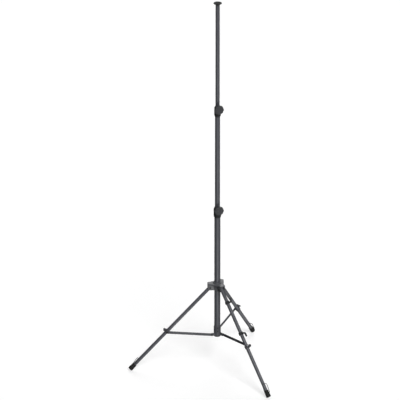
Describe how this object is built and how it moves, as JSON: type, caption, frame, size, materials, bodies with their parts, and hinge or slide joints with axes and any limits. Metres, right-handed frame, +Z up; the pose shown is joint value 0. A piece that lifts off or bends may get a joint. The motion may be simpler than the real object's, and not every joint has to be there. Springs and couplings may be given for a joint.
{
  "type": "telescopic speaker tripod stand",
  "caption": "Telescopic three-section mast on a folding tripod with a sliding leg hub, flat braces, rubber feet, mast clamps with knobs and a small top flange.",
  "frame": {"origin": "on the mast's axis at floor level, opened out and at full height", "axes": "+Z up along the mast; the left leg points along -X and the front leg towards +X -Y"},
  "size_m": [0.7829, 0.8996, 2.29],
  "materials": {
    "tube_enamel": "satin black baked enamel on steel tube",
    "bracket_enamel": "satin black powder coat on pressed steel",
    "cast_hub": "dark grey fine-textured powder coat on a zinc casting",
    "flange_enamel": "black powder coat",
    "moulded_plastic": "fine-textured glass-filled nylon",
    "knob_plastic": "fine-textured nylon",
    "pad_nylon": "plain natural nylon",
    "foot_rubber": "matt moulded rubber",
    "zinc_steel": "zinc-plated steel",
    "black_fasteners": "black oxide steel",
    "brass_insert": "turned brass"
  },
  "bodies": {
    "mast_base": {"bottom_tube": "tube_enamel", "base_bracket": "bracket_enamel", "base_cap": "moulded_plastic", "base_screws": "black_fasteners", "brace_pins": "black_fasteners", "lower_clamp_collar": "moulded_plastic", "lower_clamp_insert": "brass_insert", "lower_clamp_pad": "pad_nylon"},
    "hub": {"leg_hub": "cast_hub", "leg_pivot_bolts": "black_fasteners", "leg_pivot_nuts": "black_fasteners", "hub_lock_insert": "brass_insert"},
    "hub_lock": {"hub_lock_head": "knob_plastic", "hub_lock_stud": "zinc_steel"},
    "leg_left": {"leg_tube_left": "tube_enamel", "leg_plug_left": "moulded_plastic", "foot_cap_left": "foot_rubber", "leg_clamp_left": "bracket_enamel", "clamp_nut_left": "zinc_steel"},
    "leg_front": {"leg_tube_front": "tube_enamel", "leg_plug_front": "moulded_plastic", "foot_cap_front": "foot_rubber", "leg_clamp_front": "bracket_enamel", "clamp_nut_front": "zinc_steel", "cable_hook_upper": "moulded_plastic", "cable_hook_lower": "moulded_plastic"},
    "leg_rear": {"leg_tube_rear": "tube_enamel", "leg_plug_rear": "moulded_plastic", "foot_cap_rear": "foot_rubber", "leg_clamp_rear": "bracket_enamel", "clamp_nut_rear": "zinc_steel"},
    "clamp_knob_left": {"clamp_grip_left": "knob_plastic", "clamp_stud_left": "zinc_steel"},
    "peg_left": {"peg_loop_left": "zinc_steel"},
    "brace_left": {"brace_bar_left": "bracket_enamel", "brace_rivet_left": "black_fasteners"},
    "clamp_knob_front": {"clamp_grip_front": "knob_plastic", "clamp_stud_front": "zinc_steel"},
    "peg_front": {"peg_loop_front": "zinc_steel"},
    "brace_front": {"brace_bar_front": "bracket_enamel", "brace_rivet_front": "black_fasteners"},
    "clamp_knob_rear": {"clamp_grip_rear": "knob_plastic", "clamp_stud_rear": "zinc_steel"},
    "peg_rear": {"peg_loop_rear": "zinc_steel"},
    "brace_rear": {"brace_bar_rear": "bracket_enamel", "brace_rivet_rear": "black_fasteners"},
    "middle_mast": {"middle_tube": "tube_enamel", "middle_bush": "moulded_plastic", "upper_clamp_collar": "moulded_plastic", "upper_clamp_insert": "brass_insert", "upper_clamp_pad": "pad_nylon"},
    "top_mast": {"top_tube": "tube_enamel", "top_bush": "moulded_plastic", "top_flange": "flange_enamel"},
    "lower_knob": {"lower_knob_head": "knob_plastic", "lower_knob_stud": "zinc_steel"},
    "upper_knob": {"upper_knob_head": "knob_plastic", "upper_knob_stud": "zinc_steel"}
  },
  "joints": [
    {"name": "hub_slide", "type": "slide", "parent": "mast_base", "child": "hub", "axis": [0, 0, 1], "range_m": [0, 0.3317]},
    {"name": "hub_lock_turn", "type": "hinge", "parent": "hub", "child": "hub_lock", "pos_m": [-0.023, 0.03984, 0.51422], "axis": [-0.5, 0.866, 0], "range_deg": [0, 360]},
    {"name": "leg_left_fold", "type": "hinge", "parent": "hub", "child": "leg_left", "pos_m": [-0.042, 0, 0.51272], "axis": [0, -1, 0], "range_deg": [0, 42.7]},
    {"name": "leg_front_fold", "type": "hinge", "parent": "hub", "child": "leg_front", "pos_m": [0.021, -0.03637, 0.51272], "axis": [0.866, 0.5, 0], "range_deg": [0, 42.7]},
    {"name": "leg_rear_fold", "type": "hinge", "parent": "hub", "child": "leg_rear", "pos_m": [0.021, 0.03637, 0.51272], "axis": [-0.866, 0.5, 0], "range_deg": [0, 42.7]},
    {"name": "brace_left_fold", "type": "hinge", "parent": "mast_base", "child": "brace_left", "pos_m": [-0.032, 0, 0.2148], "axis": [0, -1, 0], "range_deg": [-81.85, 0]},
    {"name": "brace_front_fold", "type": "hinge", "parent": "mast_base", "child": "brace_front", "pos_m": [0.016, -0.02771, 0.2148], "axis": [0.866, 0.5, 0], "range_deg": [-81.85, 0]},
    {"name": "brace_rear_fold", "type": "hinge", "parent": "mast_base", "child": "brace_rear", "pos_m": [0.016, 0.02771, 0.2148], "axis": [-0.866, 0.5, 0], "range_deg": [-81.85, 0]},
    {"name": "clamp_knob_left_turn", "type": "hinge", "parent": "leg_left", "child": "clamp_knob_left", "pos_m": [-0.30697, -0.01, 0.25581], "axis": [0, -1, 0], "range_deg": [0, 360]},
    {"name": "clamp_knob_front_turn", "type": "hinge", "parent": "leg_front", "child": "clamp_knob_front", "pos_m": [0.16214, -0.26084, 0.25581], "axis": [0.866, 0.5, 0], "range_deg": [0, 360]},
    {"name": "clamp_knob_rear_turn", "type": "hinge", "parent": "leg_rear", "child": "clamp_knob_rear", "pos_m": [0.14482, 0.27084, 0.25581], "axis": [-0.866, 0.5, 0], "range_deg": [0, 360]},
    {"name": "peg_left_swing", "type": "hinge", "parent": "leg_left", "child": "peg_left", "pos_m": [-0.49347, 0, 0.02936], "axis": [0, -1, 0], "range_deg": [0, 150]},
    {"name": "peg_front_swing", "type": "hinge", "parent": "leg_front", "child": "peg_front", "pos_m": [0.24674, -0.42736, 0.02936], "axis": [0.866, 0.5, 0], "range_deg": [0, 150]},
    {"name": "peg_rear_swing", "type": "hinge", "parent": "leg_rear", "child": "peg_rear", "pos_m": [0.24674, 0.42736, 0.02936], "axis": [-0.866, 0.5, 0], "range_deg": [0, 150]},
    {"name": "middle_tube_slide", "type": "slide", "parent": "mast_base", "child": "middle_mast", "axis": [0, 0, 1], "range_m": [-0.56, 0]},
    {"name": "top_tube_slide", "type": "slide", "parent": "middle_mast", "child": "top_mast", "axis": [0, 0, 1], "range_m": [-0.625, 0]},
    {"name": "lower_knob_turn", "type": "hinge", "parent": "mast_base", "child": "lower_knob", "pos_m": [0.00521, -0.02954, 1.01], "axis": [0.1736, -0.9848, 0], "range_deg": [0, 360]},
    {"name": "upper_knob_turn", "type": "hinge", "parent": "middle_mast", "child": "upper_knob", "pos_m": [0.00521, -0.02954, 1.642], "axis": [0.1736, -0.9848, 0], "range_deg": [0, 360]}
  ],
  "couplings": [
    {"joint": "leg_left_fold", "follows": "hub_slide", "rad_per_m": 2.2468},
    {"joint": "leg_front_fold", "follows": "hub_slide", "rad_per_m": 2.2468},
    {"joint": "leg_rear_fold", "follows": "hub_slide", "rad_per_m": 2.2468},
    {"joint": "brace_left_fold", "follows": "hub_slide", "rad_per_m": -4.3069},
    {"joint": "brace_front_fold", "follows": "hub_slide", "rad_per_m": -4.3069},
    {"joint": "brace_rear_fold", "follows": "hub_slide", "rad_per_m": -4.3069}
  ]
}
